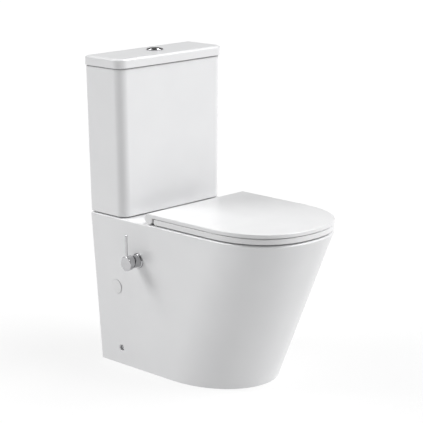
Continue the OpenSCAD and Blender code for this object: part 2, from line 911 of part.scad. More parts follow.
module floor_brackets() {
    inner = side_x(fix_y, 0) - china_t - 1.5;
    color(chrome)
    mirror_pair()
        translate([0, -fix_y, 0])
            difference() {
                union() {
                    block([inner - 3, -20, 0], [inner, 20, fix_z + 18]);
                    block([inner - 42, -20, 0], [inner - 1, 20, 3]);
                }
                along_x(inner - 10, 0, fix_z) cylinder(r = 2.6, h = 20);
                translate([floor_fix_x, 0, -1]) cylinder(r = 4, h = 10);
            }
}

module bracket_screws() {
    outer = side_x(fix_y, fix_z);
    color(chrome)
    mirror_pair()
        translate([0, -fix_y, fix_z]) {
            turned(outer - 8) cylinder(r = 6.5, h = 4);
            turned(outer - 34) cylinder(r = 2.5, h = 28);
        }
}

pan();
cistern_tank();
cistern_lid();
tank_gasket();
tank_pads();
tank_bolts();
tank_bolt_washers();
tank_wing_nuts();
flush_valve_base();
flush_valve_tower();
flush_backnut();
flush_canister();
canister_seal();
flush_rocker();
rocker_pin();
button_bezel();
bezel_nut();
full_flush_button();
full_push_rod();
half_flush_button();
half_push_rod();
full_button_spring();
half_button_spring();
fill_valve_body();
fill_valve_head();
fill_shank_nut();
fill_float();
fill_lever();
fill_lever_pin();
refill_tube();
seat_ring();
seat_buffers();
seat_lid();
lid_buffers();
hinge_posts();
hinge_pins();
hinge_bolts();
hinge_nuts();
seat_dampers();
lid_dampers();
mixer_escutcheon();
mixer_body();
mixer_backnut();
mixer_cartridge();
mixer_ball();
mixer_handle();
mixer_lever();
spray_nozzle();
nozzle_nut();
nozzle_hose();
access_caps();
floor_brackets();
bracket_screws();
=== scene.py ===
"""Close coupled toilet: glazed china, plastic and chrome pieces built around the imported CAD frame.
The axes are the frame's own: the wall is y = 0, the floor z = 0, the front is -Y. Shapes are worked out in
millimetres, and build() turns them into the frame's metres."""
from math import atan, copysign, cos, dist, pi, radians, sin

import bmesh
import bpy
from mathutils import Matrix, Vector


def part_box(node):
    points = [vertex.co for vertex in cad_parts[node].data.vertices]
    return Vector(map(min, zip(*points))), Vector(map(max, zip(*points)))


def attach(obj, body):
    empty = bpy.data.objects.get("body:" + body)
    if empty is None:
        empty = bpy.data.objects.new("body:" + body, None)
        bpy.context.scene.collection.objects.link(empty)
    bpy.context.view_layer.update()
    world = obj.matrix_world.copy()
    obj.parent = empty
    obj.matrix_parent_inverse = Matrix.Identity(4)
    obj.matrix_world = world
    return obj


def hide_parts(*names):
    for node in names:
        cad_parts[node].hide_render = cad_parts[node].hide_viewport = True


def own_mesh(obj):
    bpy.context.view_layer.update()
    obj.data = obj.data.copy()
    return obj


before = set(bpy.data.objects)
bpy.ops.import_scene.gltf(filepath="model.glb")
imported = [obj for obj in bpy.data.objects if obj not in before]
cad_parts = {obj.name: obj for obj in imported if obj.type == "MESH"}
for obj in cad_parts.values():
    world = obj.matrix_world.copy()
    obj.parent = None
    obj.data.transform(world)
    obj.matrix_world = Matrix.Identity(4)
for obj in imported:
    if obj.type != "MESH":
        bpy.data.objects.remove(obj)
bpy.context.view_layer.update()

MM = 0.001
UP = (0, 0, 1)
GLAZE, BISQUE = 0, 1
CUT, JOIN = "DIFFERENCE", "UNION"


# ------------ materials

class Shader:
    """A node material under construction: one Principled shader and the textures that feed it."""

    def __init__(self, name, **values):
        self.material = bpy.data.materials.new(name)
        self.material.use_nodes = True
        self.nodes = self.material.node_tree.nodes
        self.links = self.material.node_tree.links
        self.bsdf = self.nodes["Principled BSDF"]
        self.coords = self.add("ShaderNodeTexCoord").outputs["Object"]
        self.normal = None
        for socket, value in values.items():
            self.bsdf.inputs[socket.replace("_", " ")].default_value = value

    def add(self, kind, **settings):
        node = self.nodes.new(kind)
        for key, value in settings.items():
            setattr(node, key, value)
        return node

    def noise(self, scale, detail=3.0, stretch=(1, 1, 1)):
        """A noise pattern, scale cycles to the metre, which may be stretched along an axis."""
        mapping = self.add("ShaderNodeMapping")
        mapping.inputs["Scale"].default_value = stretch
        self.links.new(self.coords, mapping.inputs["Vector"])
        node = self.add("ShaderNodeTexNoise")
        node.inputs["Scale"].default_value = scale
        node.inputs["Detail"].default_value = detail
        self.links.new(mapping.outputs["Vector"], node.inputs["Vector"])
        return node.outputs["Fac"]

    def wave(self, scale, direction, distortion=0.0):
        node = self.add("ShaderNodeTexWave", bands_direction=direction)
        node.inputs["Scale"].default_value = scale
        node.inputs["Distortion"].default_value = distortion
        self.links.new(self.coords, node.inputs["Vector"])
        return node.outputs["Fac"]

    def ramp(self, source, low, high, start=0.3, end=0.7):
        """Two colours mixed by a pattern."""
        node = self.add("ShaderNodeValToRGB")
        for element, place, colour in zip(node.color_ramp.elements, (start, end), (low, high)):
            element.position = place
            element.color = (*colour, 1)
        self.links.new(source, node.inputs["Fac"])
        return node.outputs["Color"]

    def remap(self, source, low, high):
        node = self.add("ShaderNodeMapRange")
        node.inputs["To Min"].default_value = low
        node.inputs["To Max"].default_value = high
        self.links.new(source, node.inputs["Value"])
        return node.outputs["Result"]

    def bump(self, source, height, strength=1.0):
        """Adds relief of that height in metres, on top of any relief already there."""
        node = self.add("ShaderNodeBump")
        node.inputs["Strength"].default_value = strength
        node.inputs["Distance"].default_value = height
        self.links.new(source, node.inputs["Height"])
        if self.normal is not None:
            self.links.new(self.normal, node.inputs["Normal"])
        self.normal = node.outputs["Normal"]
        self.links.new(self.normal, self.bsdf.inputs["Normal"])

    def feed(self, socket, source):
        self.links.new(source, self.bsdf.inputs[socket])


def china_glaze():
    """Fired white glaze: a hard gloss over a surface that waves very slightly."""
    s = Shader("china_glaze", Roughness=0.3, Coat_Weight=0.3, Coat_Roughness=0.14, IOR=1.5)
    s.feed("Base Color", s.ramp(s.noise(9, 2), (0.668, 0.67, 0.678), (0.688, 0.69, 0.697)))
    s.feed("Roughness", s.remap(s.noise(40, 3), 0.29, 0.35))
    s.bump(s.noise(16, 0), 0.0002, 0.2)
    return s.material


def china_bisque():
    """Unglazed fired clay inside the skirt: matt, a little buff, with the grain of the slip."""
    s = Shader("china_bisque", Roughness=0.85)
    s.feed("Base Color", s.ramp(s.noise(30, 5), (0.66, 0.635, 0.59), (0.76, 0.74, 0.70)))
    s.bump(s.noise(60, 4), 0.0006, 0.5)
    s.bump(s.noise(1500, 3), 0.00006, 0.6)
    return s.material


def seat_plastic():
    """Pressed white thermoset: glossy, with a faint orange peel."""
    s = Shader("seat_plastic", Roughness=0.35, IOR=1.45, Coat_Weight=0.1, Coat_Roughness=0.2)
    s.feed("Base Color", s.ramp(s.noise(14, 2), (0.65, 0.651, 0.656), (0.672, 0.673, 0.677)))
    s.feed("Roughness", s.remap(s.noise(55, 3), 0.31, 0.38))
    s.bump(s.noise(700, 2), 0.00002, 0.5)
    return s.material


def metal(name, low, high, rough, grain=0.0, stretch=(1, 1, 1), scale=260):
    """A metal whose polish varies a little, with a brushed or cast grain if grain is over 0."""
    s = Shader(name, Metallic=1.0)
    s.feed("Base Color", s.ramp(s.noise(35, 3), low, high))
    s.feed("Roughness", s.remap(s.noise(scale, 4, stretch), rough * 0.75, rough * 1.3))
    if grain:
        s.bump(s.noise(scale * 4, 3, stretch), grain, 0.6)
    return s.material


def braided_steel():
    """The woven cover of a flexible hose."""
    s = Shader("braided_steel", Metallic=0.9)
    weave = s.add("ShaderNodeMath", operation="MULTIPLY")
    for socket, direction in enumerate(("DIAGONAL", "Y")):
        s.links.new(s.wave(260, direction, 0.4), weave.inputs[socket])
    s.feed("Base Color", s.ramp(weave.outputs[0], (0.16, 0.16, 0.17), (0.68, 0.68, 0.7), 0.1, 0.6))
    s.feed("Roughness", s.remap(s.noise(600, 2), 0.29, 0.45))
    s.bump(weave.outputs[0], 0.0004, 0.9)
    return s.material


def plastic(name, low, high, rough=0.42):
    """Injection moulded plastic with a fine spark-eroded texture."""
    s = Shader(name, IOR=1.48)
    s.feed("Base Color", s.ramp(s.noise(25, 3), low, high))
    s.feed("Roughness", s.remap(s.noise(90, 3), rough * 0.85, rough * 1.15))
    s.bump(s.noise(2200, 2), 0.00003, 0.5)
    return s.material


def rubber(name, low, high):
    """Moulded rubber: matt, with a bloom that pales it in patches."""
    s = Shader(name, Roughness=0.8, IOR=1.45)
    s.feed("Base Color", s.ramp(s.noise(60, 5), low, high, 0.4, 0.75))
    s.bump(s.noise(1400, 3), 0.00006, 0.6)
    return s.material


def floor_paint():
    """A pale floor that glows, so that shadows on it stay weak."""
    s = Shader("pale_floor", Roughness=0.9, Emission_Strength=0.83)
    s.bsdf.inputs["Emission Color"].default_value = (1, 1, 1, 1)
    s.feed("Base Color", s.ramp(s.noise(1.5, 2), (0.09, 0.09, 0.09), (0.11, 0.11, 0.11)))
    return s.material


glaze = china_glaze()
bisque = china_bisque()
white_plastic = seat_plastic()
chrome = metal("polished_chrome", (0.48, 0.48, 0.49), (0.54, 0.54, 0.55), 0.08)
zinc = metal("zinc_steel", (0.50, 0.50, 0.50), (0.66, 0.66, 0.68), 0.38, 0.00002)
brass = metal("machined_brass", (0.62, 0.45, 0.20), (0.78, 0.60, 0.32), 0.2, 0.00002, (1, 1, 9))
braid = braided_steel()
black_rubber = rubber("black_rubber", (0.018, 0.018, 0.019), (0.06, 0.06, 0.06))
pale_rubber = rubber("pale_rubber", (0.62, 0.62, 0.60), (0.74, 0.74, 0.72))
valve_white = plastic("valve_white", (0.74, 0.75, 0.74), (0.84, 0.85, 0.84))
valve_grey = plastic("valve_grey", (0.30, 0.32, 0.34), (0.40, 0.42, 0.44))
valve_blue = plastic("valve_blue", (0.05, 0.17, 0.38), (0.09, 0.24, 0.48))
valve_red = plastic("valve_red", (0.42, 0.05, 0.04), (0.55, 0.09, 0.07))

CHINA = (glaze, bisque)
LOOKS = {"seat_plastic": white_plastic, "chrome": chrome, "steel": zinc, "brass": brass, "hose": braid,
         "rubber": black_rubber, "pale_rubber": pale_rubber, "valve_white": valve_white,
         "valve_grey": valve_grey, "valve_blue": valve_blue, "valve_red": valve_red}


# ------------ mesh tools

def mix(a, b, t):
    """The value a share t of the way from a to b."""
    return a + (b - a) * t


def spow(v, p):
    """A power that keeps its base's sign, for superellipses."""
    return copysign(abs(v) ** p, v)


def arc(centre, r, start, end, steps):
    """Points on a circle's arc, in degrees, both ends included."""
    angles = (radians(mix(start, end, i / steps)) for i in range(steps + 1))
    return [(centre[0] + r * cos(a), centre[1] + r * sin(a)) for a in angles]


def line(a, b, steps):
    """Points strictly between two ends."""
    return [(mix(a[0], b[0], i / steps), mix(a[1], b[1], i / steps)) for i in range(1, steps)]


def evenly(points, steps):
    """The same line, with its points moved to even distances."""
    lengths = [0.0]
    for a, b in zip(points, points[1:]):
        lengths.append(lengths[-1] + dist(a, b))
    out, k = [], 0
    for i in range(steps + 1):
        target = lengths[-1] * i / steps
        while k < len(points) - 2 and lengths[k + 1] < target:
            k += 1
        t = (target - lengths[k]) / max(lengths[k + 1] - lengths[k], 1e-12)
        out.append(tuple(mix(p, q, t) for p, q in zip(points[k], points[k + 1])))
    return out


def build(name, verts, faces, materials=(), index=0):
    """A mesh object of smooth faces, from points in millimetres."""
    mesh = bpy.data.meshes.new(name)
    mesh.from_pydata([tuple(c * MM for c in v) for v in verts], [], faces)
    for material in materials:
        mesh.materials.append(material)
    for polygon in mesh.polygons:
        polygon.material_index = index
        polygon.use_smooth = True
    obj = bpy.data.objects.new(name, mesh)
    bpy.context.scene.collection.objects.link(obj)
    bm = bmesh.new()
    bm.from_mesh(mesh)
    bmesh.ops.recalc_face_normals(bm, faces=bm.faces)
    bm.to_mesh(mesh)
    bm.free()
    return obj


def loft(name, rings, materials=(), index=0):
    """A closed solid through rings of equal numbers of points, flat at both ends."""
    n = len(rings[0])
    faces = [list(range(n))[::-1], [(len(rings) - 1) * n + i for i in range(n)]]
    for k in range(len(rings) - 1):
        for i in range(n):
            j = (i + 1) % n
            faces.append([k * n + i, k * n + j, (k + 1) * n + j, (k + 1) * n + i])
    return build(name, [p for ring in rings for p in ring], faces, materials, index)


def placed(origin, axis):
    """The matrix that puts local +Z along an axis, at an origin."""
    turn = Vector(axis).to_track_quat("Z", "Y").to_matrix().to_4x4()
    return Matrix.Translation(Vector(origin)) @ turn


def lathe(name, profile, origin, axis=UP, materials=(), index=0, sides=64):
    """A solid turned about an axis, from (radius, height) pairs that may begin and end on the axis."""
    matrix = placed(origin, axis)
    verts, faces, rows = [], [], []
    for r, h in profile:
        if r < 1e-7:
            rows.append([len(verts)] * sides)
            verts.append(matrix @ Vector((0, 0, h)))
        else:
            rows.append(list(range(len(verts), len(verts) + sides)))
            for i in range(sides):
                a = 2 * pi * i / sides
                verts.append(matrix @ Vector((r * cos(a), r * sin(a), h)))
    pairs = list(zip(rows, rows[1:]))
    if profile[0][0] > 1e-7 and profile[-1][0] > 1e-7:
        pairs.append((rows[-1], rows[0]))
    for a, b in pairs:
        for i in range(sides):
            j = (i + 1) % sides
            face = list(dict.fromkeys([a[i], a[j], b[j], b[i]]))
            faces.append(face)
    return build(name, verts, faces, materials, index)


def rounded_rod(name, r, length, origin, axis, edge=0.6, materials=(), index=0, sides=48):
    """A round bar with rounded edges at both ends."""
    low = [(r - edge + edge * sin(a), edge - edge * cos(a)) for a in quarter()]
    high = [(q, length - h) for q, h in low[::-1]]
    return lathe(name, [(0, 0), *low, *high, (0, length)], origin, axis, materials, index, sides)


def quarter(steps=4):
    """Angles from 0 to 90 degrees, both ends included, for rounded edges."""
    return [pi / 2 * i / steps for i in range(steps + 1)]


def sweep(name, path, r, sides=20, materials=(), index=0):
    """A round tube along points, without twist, closed at both ends."""
    points = [Vector(p) for p in path]
    side = None
    rings = []
    for i, p in enumerate(points):
        ahead = points[min(i + 1, len(points) - 1)] - points[max(i - 1, 0)]
        ahead.normalize()
        if side is None:
            side = ahead.orthogonal().normalized()
        side = (side - ahead * side.dot(ahead)).normalized()
        up = ahead.cross(side)
        rings.append([p + r * (cos(a) * side + sin(a) * up)
                      for a in (2 * pi * k / sides for k in range(sides))])
    return loft(name, rings, materials, index)


def spline(points, steps):
    """A smooth curve through points."""
    pts = [Vector(p) for p in points]
    pts = [2 * pts[0] - pts[1], *pts, 2 * pts[-1] - pts[-2]]
    out = []
    for a, b, c, d in zip(pts, pts[1:], pts[2:], pts[3:]):
        for i in range(steps):
            t = i / steps
            out.append(0.5 * (2 * b + (c - a) * t + (2 * a - 5 * b + 4 * c - d) * t * t
                              + (3 * b - a - 3 * c + d) * t ** 3))
    return [*out, pts[-2]]


def combine(target, others, operation):
    """Joins solids to the target, or cuts them out of it, and removes them."""
    for other in others:
        modifier = target.modifiers.new("combine", "BOOLEAN")
        modifier.operation = operation
        modifier.solver = "MANIFOLD"
        modifier.object = other
        apply_modifiers(target)
        bpy.data.objects.remove(other)
    return target


def apply_modifiers(obj):
    """Replaces an object's mesh by what its modifiers make of it."""
    graph = bpy.context.evaluated_depsgraph_get()
    graph.update()
    mesh = bpy.data.meshes.new_from_object(obj.evaluated_get(graph))
    obj.modifiers.clear()
    obj.data = mesh


def finish_mesh(obj, sharp=38):
    """Cleans a combined mesh and keeps its flat faces flat beside its rounded edges."""
    bm = bmesh.new()
    bm.from_mesh(obj.data)
    bmesh.ops.remove_doubles(bm, verts=bm.verts, dist=1e-6)
    bmesh.ops.dissolve_degenerate(bm, edges=bm.edges, dist=1e-6)
    bm.to_mesh(obj.data)
    bm.free()
    for polygon in obj.data.polygons:
        polygon.use_smooth = True
    obj.data.set_sharp_from_angle(angle=radians(sharp))
    weighted = obj.modifiers.new("flat_faces", "WEIGHTED_NORMAL")
    weighted.mode = "FACE_AREA_WITH_ANGLE"
    weighted.keep_sharp = True
    return obj


def join(name, objects):
    """Several separate solids as one piece."""
    first = objects[0]
    bm = bmesh.new()
    for obj in objects:
        bm.from_mesh(obj.data)
    mesh = first.data.copy()
    bm.to_mesh(mesh)
    bm.free()
    first.data = mesh
    first.name = name
    for obj in objects[1:]:
        bpy.data.objects.remove(obj)
    return first


def piece(obj, body, slot, *nodes):
    """Finishes a piece: it rides on a body, and stands for its CAD nodes."""
    obj.name = nodes[0] + "_finished"
    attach(obj, body)
    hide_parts(*nodes)
    return obj


# ------------ sizes, read from the frame

def box(node):
    """The low and high corners of a CAD node, in millimetres."""
    return [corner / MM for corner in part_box(node)]


pan_low, pan_high = box("pan")
tank_low, tank_high = box("cistern_tank")
lid_high = box("cistern_lid")[1]
ring_high = box("seat_ring")[1]
cover_low, cover_high = box("seat_lid")
lever_low, lever_high = box("mixer_lever")

deck_z = pan_high.z
pan_l = -pan_low.y
pan_w = 2 * pan_high.x
foot_w = pan_w - 51
foot_l = pan_l - 165
seat_w = 2 * ring_high.x
valve_y = -67
hinge_y = -219.5
hinge_z = deck_z + 15
deck_nose = (204, 2.35)
foot_nose = (198, 2.08)
china_t = 12
deck_under = deck_z - 26


def d_outline(w_back, w_nose, reach, nose, back=0.0, corner=3):
    """A straight-sided D: a superellipse nose, two sides and a straight back with small corners."""
    length, power = nose
    dense = []
    for i in range(721):
        a = radians(-90 + i / 4)
        dense.append((w_nose / 2 * spow(sin(a), 2 / power),
                      length - reach - length * abs(cos(a)) ** (2 / power)))
    front = evenly(dense, 96)
    half, r = w_back / 2, corner
    right = arc((half - r, -back - r), r, 0, 90, 5)
    left = arc((-half + r, -back - r), r, 90, 180, 5)
    return [*front, *line(front[-1], right[0], 14), *right, *line(right[-1], left[0], 12),
            *left, *line(left[-1], front[0], 14)]


def egg_outline(half_w, rear, front, power, grow=0.0, steps=128):
    """The bowl's outline: a superellipse about its middle, grown all round."""
    mid, half = -(rear + front) / 2, (front - rear) / 2 + grow
    dense = [((half_w + grow) * spow(sin(a), 2 / power), mid + half * spow(cos(a), 2 / power))
             for a in (2 * pi * i / 960 for i in range(961))]
    return evenly(dense, steps)[:-1]


def at(outline, z):
    """An outline in plan, or the plan of a ring, at a height."""
    return [(p[0], p[1], z) for p in outline]


def square(half):
    """The corners of a square about the origin."""
    return [(-half, -half), (half, -half), (half, half), (-half, half)]


# ------------ pan

def skirt_ring(z, inset=0.0, back=0.0, corner=3):
    """The pan's outline at a height, inset all round but at the wall."""
    t = max(z, 0) / (deck_z - 5)
    nose = [mix(a, b, t) for a, b in zip(foot_nose, deck_nose)]
    return at(d_outline(mix(foot_w, pan_w, t) - 2 * inset,
                        mix(foot_w - 6, seat_w, t) - 2 * inset,
                        mix(foot_l, pan_l, t) - inset, (nose[0] - inset, nose[1]), back, corner), z)


def pan_outside():
    edge = 6.5
    rings = [skirt_ring(0, 2.0, 2.0), skirt_ring(0.6, 0.8, 0.8), skirt_ring(2.2)]
    rings += [skirt_ring(mix(2.2, deck_z - edge, i / 24)) for i in range(1, 25)]
    for a in quarter(8)[1:]:
        inset = edge * (1 - cos(a))
        ring = skirt_ring(deck_z - edge, inset, inset * 0.5)
        rings.append(at(ring, deck_z - edge + edge * sin(a)))
    flat = skirt_ring(deck_z - edge, edge + 1.5, edge * 0.5 + 1.5)
    rings.append(at(flat, deck_z))
    return loft("pan", rings, CHINA, GLAZE)


def hollow():
    """The space inside the skirt, open at the floor and at the wall."""
    r = 14
    top = deck_under
    rings = [skirt_ring(mix(0, top - r, i / 16), china_t, -10) for i in range(17)]
    rings = [[(x, y, -5) for x, y, _ in rings[0]], *rings]
    for a in quarter(6)[1:]:
        ring = skirt_ring(top - r, china_t + r * (1 - cos(a)), -10)
        rings.append(at(ring, top - r + r * sin(a)))
    return loft("hollow", rings, CHINA, BISQUE)


MOUTH = (124, 274, 583, 2.35)
WAIST = (98, 282, 540, 2.2)
SUMP = (34, 292, 374, 2.0)
WAIST_Z, SUMP_Z = 285, 93


def bowl_at(z):
    """Half width, rear, front and roundness of the bowl at a height, faired through its three stations."""
    if z >= WAIST_Z:
        t = (z - WAIST_Z) / (deck_z - WAIST_Z)
        return [mix(a, b, t) for a, b in zip(WAIST, MOUTH)]
    t = (z - SUMP_Z) / (WAIST_Z - SUMP_Z)
    eased = t + 0.16 * sin(pi * t)
    return [mix(a, b, eased) for a, b in zip(SUMP, WAIST)]


def bowl_solid(name, grow, index, top, bottom_r=26):
    low = SUMP_Z - grow
    rings = []
    for a in quarter(7):
        inset = bottom_r * (1 - sin(a))
        z = low + bottom_r * (1 - cos(a))
        rings.append(at(egg_outline(*bowl_at(max(z + grow, SUMP_Z)), grow - inset), z))
    start = low + bottom_r
    for i in range(1, 33):
        z = mix(start, top, i / 32)
        rings.append(at(egg_outline(*bowl_at(z), grow), z))
    return loft(name, rings, CHINA, index)


def bowl_cutter():
    """The bowl's inside: a rounded lip, a steep flush band with a ledge under it, and the sloping bowl."""
    lip, band, ledge, bottom_r = 9, 40, 5.5, 26
    rings = []
    for a in quarter(7):
        z = SUMP_Z + bottom_r * (1 - cos(a))
        rings.append(at(egg_outline(*bowl_at(z), -bottom_r * (1 - sin(a))), z))
    start, shelf = SUMP_Z + bottom_r, deck_z - band
    for i in range(1, 31):
        z = mix(start, shelf - 8, i / 30)
        rise = max(0.0, (z - WAIST_Z) / (shelf - WAIST_Z))
        rings.append(at(egg_outline(*bowl_at(z), -ledge * rise ** 2), z))
    for i in range(1, 11):
        t = i / 10
        z = mix(shelf - 8, shelf + 6, t)
        rings.append(at(egg_outline(*bowl_at(z), -ledge * (1 - t * t * (3 - 2 * t))), z))
    for i in range(1, 6):
        z = mix(shelf + 6, deck_z - lip, i / 5)
        rings.append(at(egg_outline(*bowl_at(z)), z))
    steep = radians(80)
    for i in range(1, 8):
        a = steep * i / 7
        rings.append(at(egg_outline(*MOUTH, lip * (1 - cos(a))), deck_z - lip + lip * sin(a)))
    run_out = 2
    rings.append(at(egg_outline(*MOUTH, lip * (1 - cos(steep)) + run_out * sin(steep)),
                    deck_z - lip + lip * sin(steep) + run_out * cos(steep)))
    return loft("bowl_cutter", rings, CHINA, GLAZE)


def trap_path(extra):
    """The trap's centreline: along the sump, up over the weir, down and out at the wall."""
    point, heading, path = Vector((0, -330, 121)), 0.0, []

    def go(distance):
        nonlocal point
        point = point + Vector((0, cos(heading), sin(heading))) * distance
        path.append(point.copy())

    def turn(radius, angle, steps=10):
        nonlocal heading
        step = radians(angle) / steps
        for _ in range(steps):
            heading += step / 2
            go(2 * radius * sin(abs(step) / 2))
            heading += step / 2

    path.append(point.copy())
    go(30)
    turn(55, 50)
    go(90)
    turn(50, -90, 16)
    fall = (point.z - 50 * (1 - cos(radians(40))) - 180) / sin(radians(40))
    go(fall)
    turn(50, 40)
    path.append(Vector((0, point.y + extra, point.z)))
    return path


def channel(x, rear, front, low, high, index, name):
    """A rounded box that leads the flush water from the deck to the bowl."""
    r = 8
    outline = []
    corners = ((x - r, high - r), (r - x, high - r), (r - x, low + r), (x - r, low + r))
    for i, corner in enumerate(corners):
        outline += arc(corner, r, 90 * i, 90 * i + 90, 5)
    rings = [[(px, mix(rear, front, t), pz) for px, pz in outline] for t in (0, 0.5, 1)]
    return loft(name, rings, CHINA, index)


def flared_hole(r, point, outward, depth, lip=1.6, index=GLAZE, sides=48):
    """A cutter for a round hole with a glaze-rounded lip, from outside the surface at a point."""
    profile = [(0, -depth), (r, -depth), (r, -lip)]
    steep = radians(78)
    for i in range(1, 6):
        a = steep * i / 5
        profile.append((r + lip * (1 - cos(a)), -lip + lip * sin(a)))
    last_r, last_h = profile[-1]
    profile += [(last_r + 2 * sin(steep), last_h + 2 * cos(steep)), (last_r + 2, 6), (0, 6)]
    return lathe("hole", profile, point, outward, CHINA, index, sides)


def side_x(y, z):
    """Half width of the pan's side at a place."""
    t = z / (deck_z - 5)
    along = min(1.0, -y / (mix(foot_l, pan_l, t) - mix(foot_nose[0], deck_nose[0], t)))
    return mix(mix(foot_w, foot_w - 6, along), mix(pan_w, seat_w, along), t) / 2


SIDE_TILT = atan((pan_w - foot_w) / 2 / (deck_z - 5))


def side_normal(side):
    """The direction straight out of the pan's leaning side."""
    return (side * cos(SIDE_TILT), 0, -sin(SIDE_TILT))


CAP_AT = (-82, 220)
FIX_AT = (-83, 47)
escutcheon_low, escutcheon_high = box("mixer_escutcheon")
MIXER = Vector((0, (escutcheon_low.y + escutcheon_high.y) / 2, (escutcheon_low.z + escutcheon_high.z) / 2))
spot_x = -escutcheon_high.x


def make_pan():
    pan = pan_outside()
    combine(pan, [hollow()], CUT)
    combine(pan, [
        bowl_solid("bowl_outside", 10, BISQUE, deck_z - 3),
        channel(50, -30, -280, deck_under - 44, deck_under + 6, BISQUE, "duct_outside"),
        sweep("trap_outside", trap_path(2), 36, 40, CHINA, BISQUE),
        rounded_rod("spigot", 51, 63, (0, -75, 180), (0, 1, 0), 2, CHINA, BISQUE),
    ], JOIN)
    cutters = [
        bowl_cutter(),
        channel(42, -36, -300, deck_under - 36, deck_under - 2, GLAZE, "duct_inside"),
        sweep("trap_inside", trap_path(2), 28, 40, CHINA, GLAZE),
        rounded_rod("spigot_bore", 43, 80, (0, -70, 180), (0, 1, 0), 2, CHINA, BISQUE),
        flared_hole(48, (0, valve_y, deck_z), UP, 14, 1.5, BISQUE, 64),
        rounded_rod("outlet", 34, 60, (0, valve_y, deck_under - 12), UP, 1, CHINA, BISQUE),
        flared_hole(20, (125, -62, deck_z), UP, 40),
        flared_hole(5.5, (0, -306, 330), (0, -1, 0), 60, 0.5),
        rounded_rod("mixer_hole", 13, 60, (-spot_x + 40, MIXER.y, MIXER.z), (-1, 0, 0), 1, CHINA, BISQUE),
        rounded_rod("mixer_seat", 19.9, 20, (-spot_x, MIXER.y, MIXER.z), (-1, 0, 0), 0.2, CHINA, GLAZE, 64),
    ]
    for side in (-1, 1):
        cutters += [
            flared_hole(7, (side * 75, valve_y, deck_z), UP, 40),
            flared_hole(7.5, (side * 78, hinge_y, deck_z), UP, 40),
            flared_hole(8, (side * side_x(*FIX_AT), *FIX_AT), side_normal(side), 30, 2),
            flared_hole(17, (side * side_x(*CAP_AT), *CAP_AT), side_normal(side), 30, 1.2),
        ]
    combine(pan, cutters, CUT)
    finish_mesh(pan)
    piece(pan, "root", "china", "pan")


# ------------ cistern

def tank_outline(w, d, front_r=26, back_r=6, bow=2, inset=0.0, back=0.0):
    """The cistern in plan: large front corners, small back ones, and a front that bows out a little."""
    half, depth = w / 2 - inset, d - inset
    fr, br = front_r - min(inset, front_r * 0.6), max(back_r - inset, 1)
    corner = [*arc((-half + fr, -depth + fr), fr, 180, 270, 14)]
    other = [*arc((half - fr, -depth + fr), fr, 270, 360, 14)]
    back_y = -back - (inset if back == 0 else 0)
    right = arc((half - br, back_y - br), br, 0, 90, 5)
    left = arc((-half + br, back_y - br), br, 90, 180, 5)
    points = [*corner, *line(corner[-1], other[0], 28), *other, *line(other[-1], right[0], 12), *right,
              *line(right[-1], left[0], 16), *left, *line(left[-1], corner[0], 12)]
    return [(x, y - bow * (1 - (x / half) ** 2) if y < -d / 2 else y) for x, y in points]


def make_tank():
    low, high = tank_low.z, tank_high.z
    foot_half, rim_half = 355, 2 * tank_high.x
    foot_d, rim_d = 131, 134
    edge = 4

    def ring(z, inset=0.0, back=0.0):
        t = (z - low) / (high - low)
        return at(tank_outline(mix(foot_half, rim_half, t), mix(foot_d, rim_d, t), inset=inset), z)

    outside = []
    for a in quarter(5):
        outside.append(at(ring(low + edge, edge * (1 - sin(a))), low + edge * (1 - cos(a))))
    outside += [ring(mix(low + edge, high - 2, i / 14)) for i in range(1, 15)]
    for a in quarter(4)[1:]:
        outside.append(at(ring(high, 2 * (1 - cos(a))), high - 2 + 2 * sin(a)))
    outside.insert(0, at(ring(low, edge + 2), low))
    outside.append(at(ring(high, 3), high))
    tank = loft("cistern_tank", outside, CHINA, GLAZE)
    wall, floor_z, r = 9, low + 14, 10
    inside = []
    for a in quarter(5):
        inside.append(at(ring(floor_z, wall + r * (1 - sin(a))), floor_z + r * (1 - cos(a))))
    inside += [ring(mix(floor_z + r, high + 4, i / 8), wall) for i in range(1, 9)]
    cutters = [loft("tank_inside", inside, CHINA, GLAZE),
               rounded_rod("valve_hole", 31, 40, (0, valve_y, low - 5), UP, 1, CHINA, BISQUE, 64),
               rounded_rod("inlet_hole", 11.5, 40, (125, -62, low - 5), UP, 1, CHINA, BISQUE)]
    cutters += [rounded_rod("bolt_hole", 7, 40, (side * 75, valve_y, low - 5), UP,
                            1, CHINA, BISQUE) for side in (-1, 1)]
    combine(tank, cutters, CUT)
    piece(finish_mesh(tank), "root", "china", "cistern_tank")


def make_tank_lid():
    low, top = tank_high.z, lid_high.z
    w, d = 2 * lid_high.x, 137.5
    edge, gap = 7.5, 1.9
    foot = 0.8

    def ring(z, inset):
        return at(tank_outline(w, d, 28, 8, inset=inset), z)

    rings = [ring(low + gap, 3.5)]
    rings += [ring(low + gap + foot * (1 - cos(a)), foot * (1 - sin(a))) for a in quarter(4)]
    rings += [ring(mix(low + gap + foot, top - edge, i / 3), 0) for i in (1, 2, 3)]
    for a in quarter(9)[1:]:
        rings.append(ring(top - edge + (edge - 0.25) * sin(a), edge * (1 - cos(a))))
    rings.append(ring(top - 0.2, edge + 2))
    rings.append(ring(top, edge + 26))
    lid = loft("cistern_lid", rings, CHINA, GLAZE)
    lip = [at(tank_outline(2 * tank_high.x, 134, inset=11), z) for z in (low - 9, low + 4)]
    combine(lid, [loft("lid_lip", lip, CHINA, BISQUE)], JOIN)
    under = [at(tank_outline(2 * tank_high.x, 134, inset=17), z) for z in (low - 12, top - 9)]
    combine(lid, [
        loft("lid_inside", under, CHINA, BISQUE),
        flared_hole(19.2, (0, valve_y, top), UP, 20, 1.0, GLAZE, 64),
    ], CUT)
    piece(finish_mesh(lid), "root", "china", "cistern_lid")


# ------------ seat and lid

